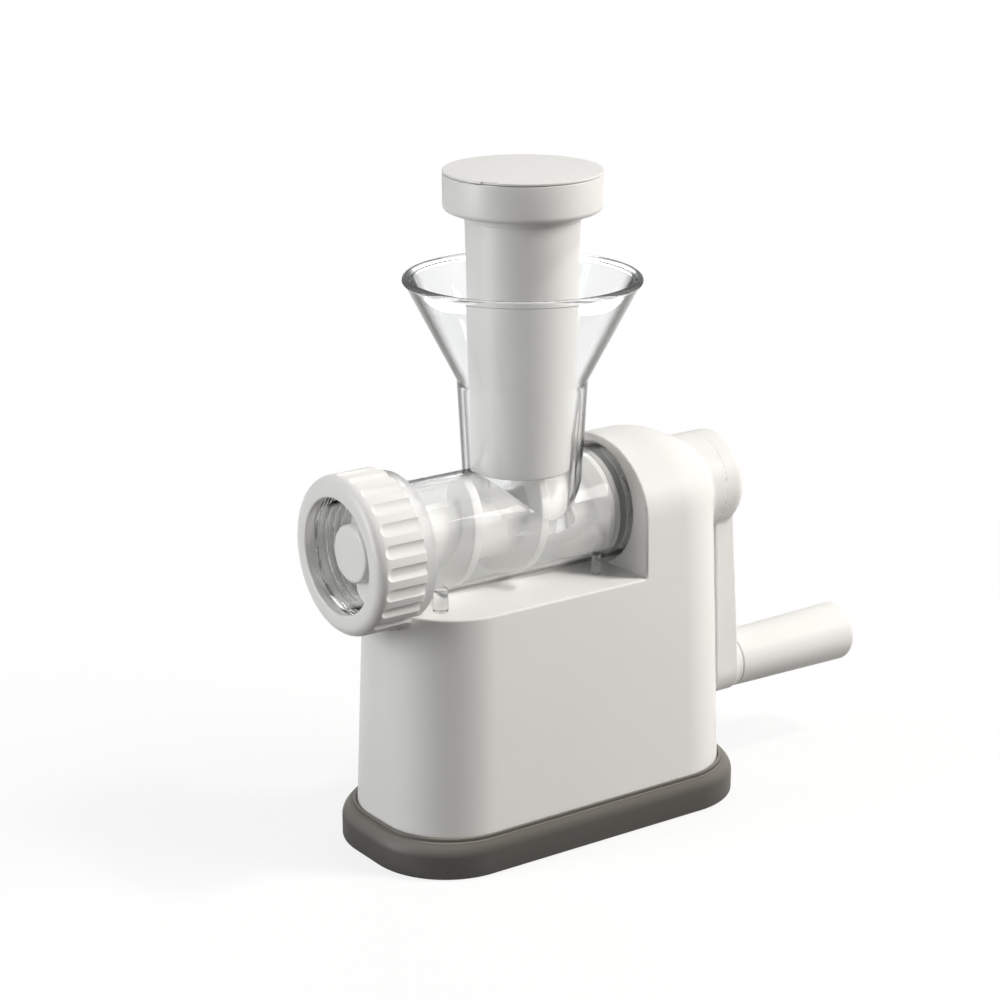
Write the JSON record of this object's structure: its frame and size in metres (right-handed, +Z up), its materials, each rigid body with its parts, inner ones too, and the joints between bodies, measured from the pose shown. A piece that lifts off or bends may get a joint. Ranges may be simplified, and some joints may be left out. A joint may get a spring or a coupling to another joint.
{
  "type": "manual sausage stuffer",
  "caption": "Hand-cranked sausage stuffer: white body on a dark rubber foot, clear hopper barrel with a feed screw, fluted ring nut, plunger and side crank.",
  "frame": {"origin": "centre of the foot's underside, in the plane it rests on", "axes": "+X along the barrel from the outlet towards the crank, +Z up, so the outlet faces -X"},
  "size_m": [0.2461, 0.0894, 0.2556],
  "materials": {
    "white_plastic": "satin moulded",
    "clear_plastic": "clear polished moulded",
    "foot_rubber": "matte moulded",
    "seal_rubber": "matte moulded",
    "bearing_plastic": "machined",
    "steel": "turned"
  },
  "bodies": {
    "body": {"housing": "white_plastic", "base_plate": "white_plastic", "base_screws": "steel", "foot": "foot_rubber", "front_bush": "bearing_plastic", "rear_bush": "bearing_plastic"},
    "crank": {"crank_arm": "white_plastic", "drive_shaft": "steel", "shaft_clip": "steel", "hub_washer": "bearing_plastic", "crank_screw": "steel", "hub_cap": "white_plastic", "grip_pin": "steel", "grip_washer": "bearing_plastic", "grip_nut": "steel"},
    "grip": {"grip": "white_plastic", "grip_cap": "white_plastic"},
    "screw_seal": {"auger_seal": "seal_rubber"},
    "feed_screw": {"auger": "white_plastic"},
    "hopper": {"barrel": "clear_plastic"},
    "ring_nut": {"ring_nut": "white_plastic"},
    "pusher": {"pusher": "white_plastic"},
    "pusher_lid": {"pusher_lid": "white_plastic"}
  },
  "joints": [
    {"name": "crank_turn", "type": "hinge", "parent": "body", "child": "crank", "pos_m": [0.076, 0, 0.1222], "axis": [1, 0, 0], "continuous": true},
    {"name": "grip_turn", "type": "hinge", "parent": "crank", "child": "grip", "pos_m": [0.1, 0, 0.0422], "axis": [1, 0, 0], "continuous": true},
    {"name": "hopper_pull", "type": "slide", "parent": "body", "child": "hopper", "axis": [-1, 0, 0], "range_m": [0, 0.06]},
    {"name": "screw_turn", "type": "hinge", "parent": "hopper", "child": "screw_seal", "pos_m": [0.02, 0, 0.1222], "axis": [1, 0, 0], "continuous": true},
    {"name": "screw_pull", "type": "slide", "parent": "screw_seal", "child": "feed_screw", "axis": [-1, 0, 0], "range_m": [0, 0.125]},
    {"name": "nut_off", "type": "slide", "parent": "hopper", "child": "ring_nut", "axis": [-1, 0, 0], "range_m": [0, 0.03]},
    {"name": "pusher_lift", "type": "slide", "parent": "hopper", "child": "pusher", "axis": [0, 0, 1], "range_m": [0, 0.12]},
    {"name": "lid_lift", "type": "slide", "parent": "pusher", "child": "pusher_lid", "axis": [0, 0, 1], "range_m": [0, 0.02]}
  ],
  "couplings": [
    {"joint": "screw_turn", "follows": "crank_turn", "ratio": 1}
  ]
}
